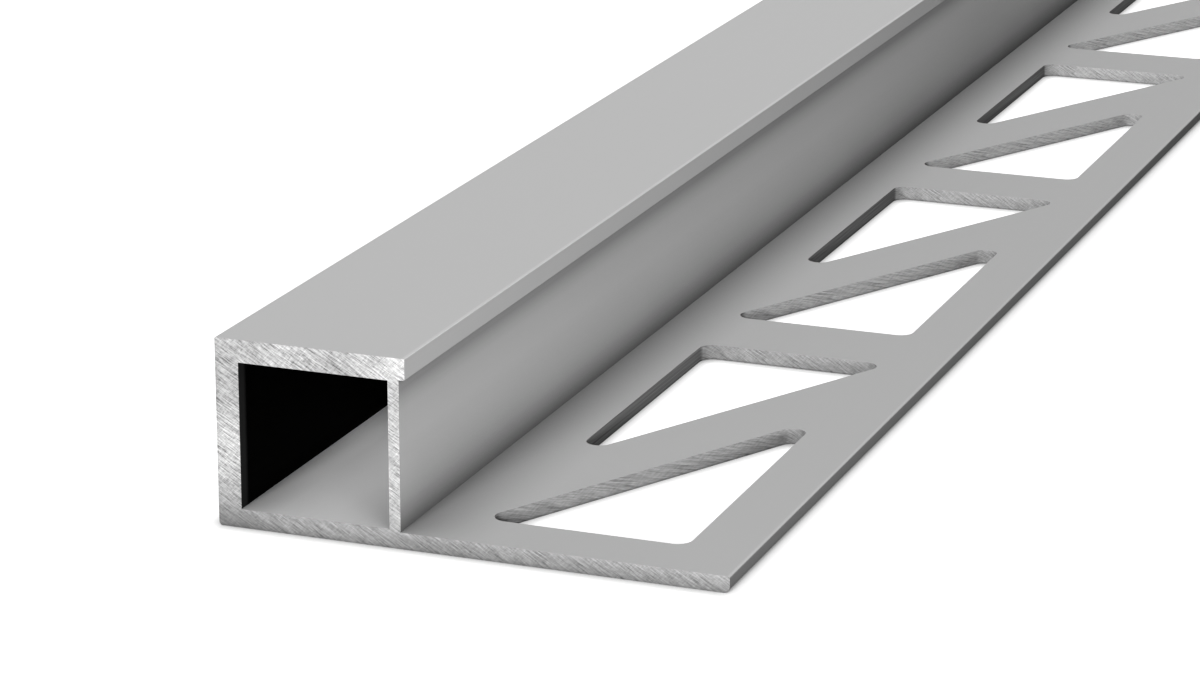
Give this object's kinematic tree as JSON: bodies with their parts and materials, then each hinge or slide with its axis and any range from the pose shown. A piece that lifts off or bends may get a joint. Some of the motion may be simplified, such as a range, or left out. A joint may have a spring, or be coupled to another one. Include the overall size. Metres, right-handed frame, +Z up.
{
  "type": "tile edge trim",
  "caption": "Straight aluminium tile edge trim: a hollow square edge with a small lip, and a flat anchoring leg punched with pairs of right triangles between slanting braces.",
  "frame": {"origin": "middle of the trim's underside, centred on its box and resting on the floor", "axes": "+Y along the trim, away from the cut end in the picture, +X from the hollow edge to the leg's free edge, +Z up"},
  "size_m": [0.0344, 1, 0.0125],
  "materials": {
    "satin_aluminium": "satin, with sawn ends"
  },
  "bodies": {
    "root": {"edge_trim": "satin_aluminium"}
  },
  "joints": []
}
